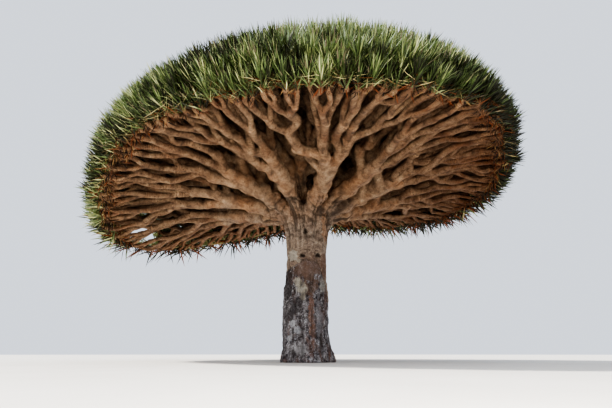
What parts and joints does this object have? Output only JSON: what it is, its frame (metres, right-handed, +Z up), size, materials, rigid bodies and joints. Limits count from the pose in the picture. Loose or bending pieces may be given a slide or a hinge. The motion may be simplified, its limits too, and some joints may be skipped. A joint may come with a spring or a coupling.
{
  "type": "dragon blood tree",
  "caption": "Old umbrella-shaped dragon blood tree: stout trunk, fan of forking boughs under a low dome of stiff sword leaves.",
  "frame": {"origin": "centre of the flat cut under the trunk, at ground level", "axes": "+Z up the trunk, +X to the right and -Y towards the viewer in the picture"},
  "size_m": [8.8893, 9.0162, 5.406],
  "materials": {
    "trunk_bark": "rough",
    "bough_bark": "rough",
    "leaves": "satin"
  },
  "bodies": {
    "root": {"trunk": "trunk_bark", "bough_low_01": "bough_bark", "limb_low_01_a": "bough_bark", "limb_low_01_b": "bough_bark", "bough_low_02": "bough_bark", "limb_low_02_a": "bough_bark", "bough_low_03": "bough_bark", "limb_low_03_a": "bough_bark", "limb_low_03_b": "bough_bark", "bough_low_04": "bough_bark", "limb_low_04_a": "bough_bark", "bough_low_05": "bough_bark", "limb_low_05_a": "bough_bark", "limb_low_05_b": "bough_bark", "bough_low_06": "bough_bark", "limb_low_06_a": "bough_bark", "bough_low_07": "bough_bark", "limb_low_07_a": "bough_bark", "limb_low_07_b": "bough_bark", "bough_low_08": "bough_bark", "limb_low_08_a": "bough_bark", "bough_low_09": "bough_bark", "limb_low_09_a": "bough_bark", "limb_low_09_b": "bough_bark", "bough_low_10": "bough_bark", "limb_low_10_a": "bough_bark", "bough_low_11": "bough_bark", "limb_low_11_a": "bough_bark", "limb_low_11_b": "bough_bark", "bough_high_01": "bough_bark", "limb_high_01_a": "bough_bark", "limb_high_01_b": "bough_bark", "limb_high_01_c": "bough_bark", "bough_high_02": "bough_bark", "limb_high_02_a": "bough_bark", "limb_high_02_b": "bough_bark", "limb_high_02_c": "bough_bark", "bough_high_03": "bough_bark", "limb_high_03_a": "bough_bark", "limb_high_03_b": "bough_bark", "limb_high_03_c": "bough_bark", "foliage_top": "leaves", "foliage_inner_01": "leaves", "foliage_inner_02": "leaves", "foliage_inner_03": "leaves", "foliage_mid_01": "leaves", "foliage_mid_02": "leaves", "foliage_mid_03": "leaves", "foliage_mid_04": "leaves", "foliage_mid_05": "leaves", "foliage_mid_06": "leaves", "foliage_rim_01": "leaves", "foliage_rim_02": "leaves", "foliage_rim_03": "leaves", "foliage_rim_04": "leaves", "foliage_rim_05": "leaves", "foliage_rim_06": "leaves", "foliage_rim_07": "leaves", "foliage_rim_08": "leaves", "foliage_rim_09": "leaves"}
  },
  "joints": []
}
